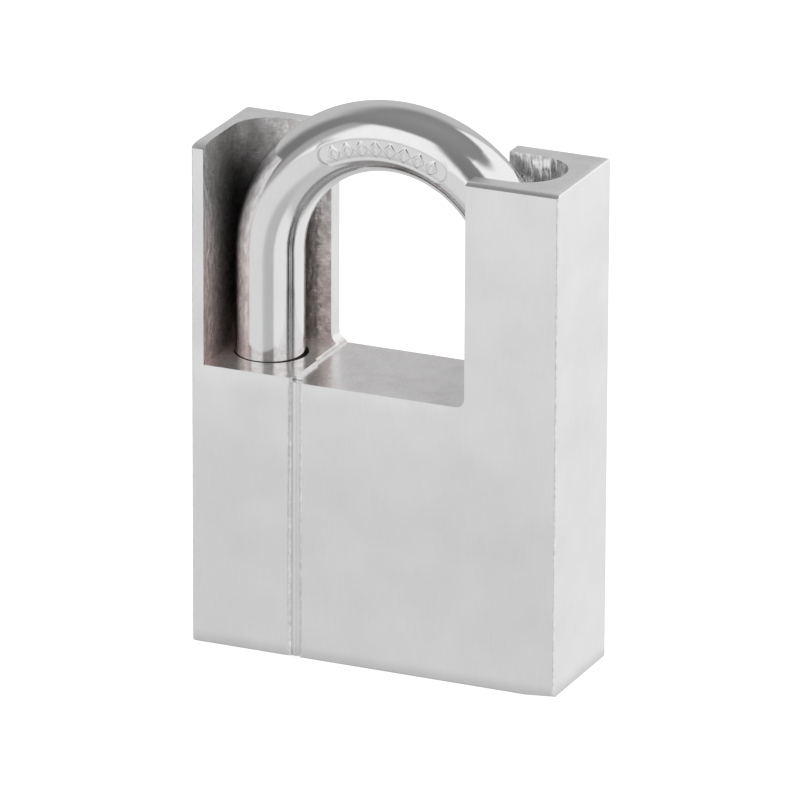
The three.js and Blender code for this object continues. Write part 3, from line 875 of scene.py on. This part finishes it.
def studio_floor():
    bm = bmesh.new()
    bmesh.ops.create_grid(bm, x_segments=2, y_segments=2, size=6.0)
    floor = from_bmesh("studio_floor", bm)
    floor.location.z = -0.0002
    material = bpy.data.materials.new("studio_floor")
    material.use_nodes = True
    n = Nodes(material.node_tree)
    base = n.add("ShaderNodeBsdfDiffuse", {"Color": (0.9, 0.9, 0.9, 1)})
    glow = n.add("ShaderNodeEmission", {"Color": (1, 1, 1, 1), "Strength": 0.72})
    both = n.add("ShaderNodeAddShader")
    output = n.add("ShaderNodeOutputMaterial")
    n.link(base.outputs[0], both.inputs[0])
    n.link(glow.outputs[0], both.inputs[1])
    n.link(both.outputs[0], output.inputs[0])
    floor.data.materials.append(material)
    floor.visible_glossy = False


# Soft panels round the object: compass angle of the middle and half width, lowest and highest angle
# above the floor, softness of the edge, and brightness. Later ones lie over earlier ones.
PANELS = (
    ("floor", 0, 181, -91, -4, 5, 0.62),
    ("floor_left", -118, 27, -45, -4, 7, 0.78),
    ("floor_front", -70, 16, -50, -4, 8, 0.54),
    ("floor_right_front", -30, 23, -50, -4, 6, 0.88),
    ("floor_right", 48, 42, -50, -4, 8, 0.885),
    ("wall_behind", 125, 50, -5, 48, 14, 0.57),
    ("wing_left", -138, 9, -4, 43, 5, 0.42),
    ("softbox_left", -110.5, 20.5, -4, 43, 4, 1.0),
    ("softbox_right", 14, 66, -4, 53, 4, 1.0),
)


def studio_world():
    world = bpy.data.worlds.new("studio")
    scene.world = world
    world.use_nodes = True
    n = Nodes(world.node_tree)
    where = n.add("ShaderNodeTexCoord")
    axes = n.add("ShaderNodeSeparateXYZ")
    n.link(where.outputs["Generated"], axes.inputs[0])
    turn = n.math("MULTIPLY", n.math("ARCTAN2", axes.outputs["Y"], axes.outputs["X"]), math.degrees(1))
    rise = n.math("MULTIPLY", n.math("ARCSINE", axes.outputs["Z"], 0), math.degrees(1))
    tone = n.range(rise, 15, 90, 0.2, 0.31)
    for _, middle, half, low, high, edge, bright in PANELS:
        aside = n.math("SUBTRACT", turn, middle)
        wrapped = n.add("ShaderNodeMath", operation="WRAP")
        n.link(aside, wrapped.inputs[0])
        wrapped.inputs[1].default_value = 180
        wrapped.inputs[2].default_value = -180
        aside = n.math("ABSOLUTE", wrapped.outputs[0], 0)
        inside = n.smooth(aside, half - edge, half + edge, 1, 0)
        above = n.smooth(rise, low - edge, low + edge)
        below = n.smooth(rise, high - edge, high + edge, 1, 0)
        mask = n.math("MULTIPLY", inside, n.math("MULTIPLY", above, below))
        blend = n.add("ShaderNodeMix", {"B": bright}, data_type="FLOAT")
        n.link(mask, blend.inputs["Factor"])
        n.link(tone, blend.inputs["A"])
        tone = blend.outputs["Result"]
    room = n.add("ShaderNodeBackground")
    n.link(tone, room.inputs["Color"])
    paper = n.add("ShaderNodeBackground", {"Color": (1, 1, 1, 1)})
    path = n.add("ShaderNodeLightPath")
    seen = n.add("ShaderNodeMixShader")
    n.link(path.outputs["Is Camera Ray"], seen.inputs[0])
    n.link(room.outputs[0], seen.inputs[1])
    n.link(paper.outputs[0], seen.inputs[2])
    output = n.add("ShaderNodeOutputWorld")
    n.link(seen.outputs[0], output.inputs[0])


studio_floor()
studio_world()

# ----------------------------------------------------------------------- camera


CAMERA_AZIMUTH = math.radians(23.884)
CAMERA_ELEVATION = math.radians(19.797)
CAMERA_ROLL = math.radians(0.241)
CAMERA_DISTANCE = 1.57545
CAMERA_LENS = 468.7
AIM_Z = 0.040
AIM_RIGHT = 0.000088
AIM_UP = 0.000237


def studio_camera():
    azimuth, elevation, roll = CAMERA_AZIMUTH, CAMERA_ELEVATION, CAMERA_ROLL
    back = Vector((
        math.sin(azimuth) * math.cos(elevation),
        -math.cos(azimuth) * math.cos(elevation),
        math.sin(elevation),
    ))
    right = Vector((math.cos(azimuth), math.sin(azimuth), 0))
    up = back.cross(right)
    aim = Vector((0, 0, AIM_Z)) + right * AIM_RIGHT + up * AIM_UP
    turned_right = right * math.cos(roll) + up * math.sin(roll)
    turned_up = up * math.cos(roll) - right * math.sin(roll)
    data = bpy.data.cameras.new("camera")
    data.sensor_width = 36
    data.lens = CAMERA_LENS
    data.clip_start = 0.05
    data.clip_end = 20
    camera = bpy.data.objects.new("camera", data)
    scene.collection.objects.link(camera)
    axes = Matrix((turned_right, turned_up, back)).transposed().to_4x4()
    camera.matrix_world = Matrix.Translation(aim + back * CAMERA_DISTANCE) @ axes
    scene.camera = camera


studio_camera()
scene.view_settings.view_transform = "Standard"
